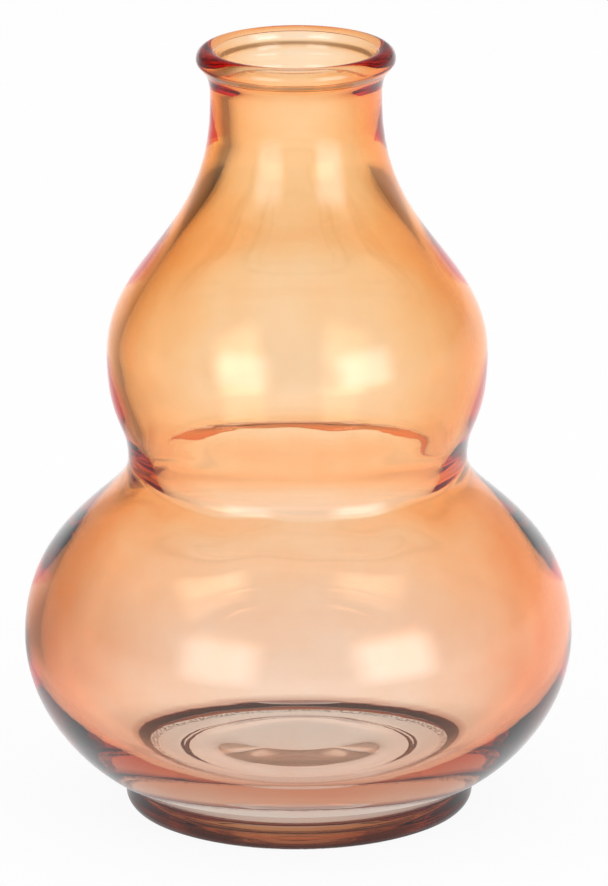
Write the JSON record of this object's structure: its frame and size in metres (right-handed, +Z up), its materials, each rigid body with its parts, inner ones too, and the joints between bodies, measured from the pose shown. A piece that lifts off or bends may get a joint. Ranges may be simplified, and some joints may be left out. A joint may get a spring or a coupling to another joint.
{
  "type": "gourd vase",
  "caption": "Gourd-shaped vase of clear moulded glass with a translucent orange lacquer film, two bulbs, a slim flared neck and a low round foot.",
  "frame": {"origin": "centre of the bearing ring of the foot, on the table", "axes": "+Z up along the axis of the vase, +X to the right and -Y towards the viewer"},
  "size_m": [0.12, 0.12, 0.1705],
  "materials": {
    "clear_glass": "clear, smooth moulded",
    "orange_lacquer": "translucent gloss lacquer, fading towards the foot"
  },
  "bodies": {
    "root": {"glass_body": "clear_glass", "lacquer_film": "orange_lacquer"}
  },
  "joints": []
}
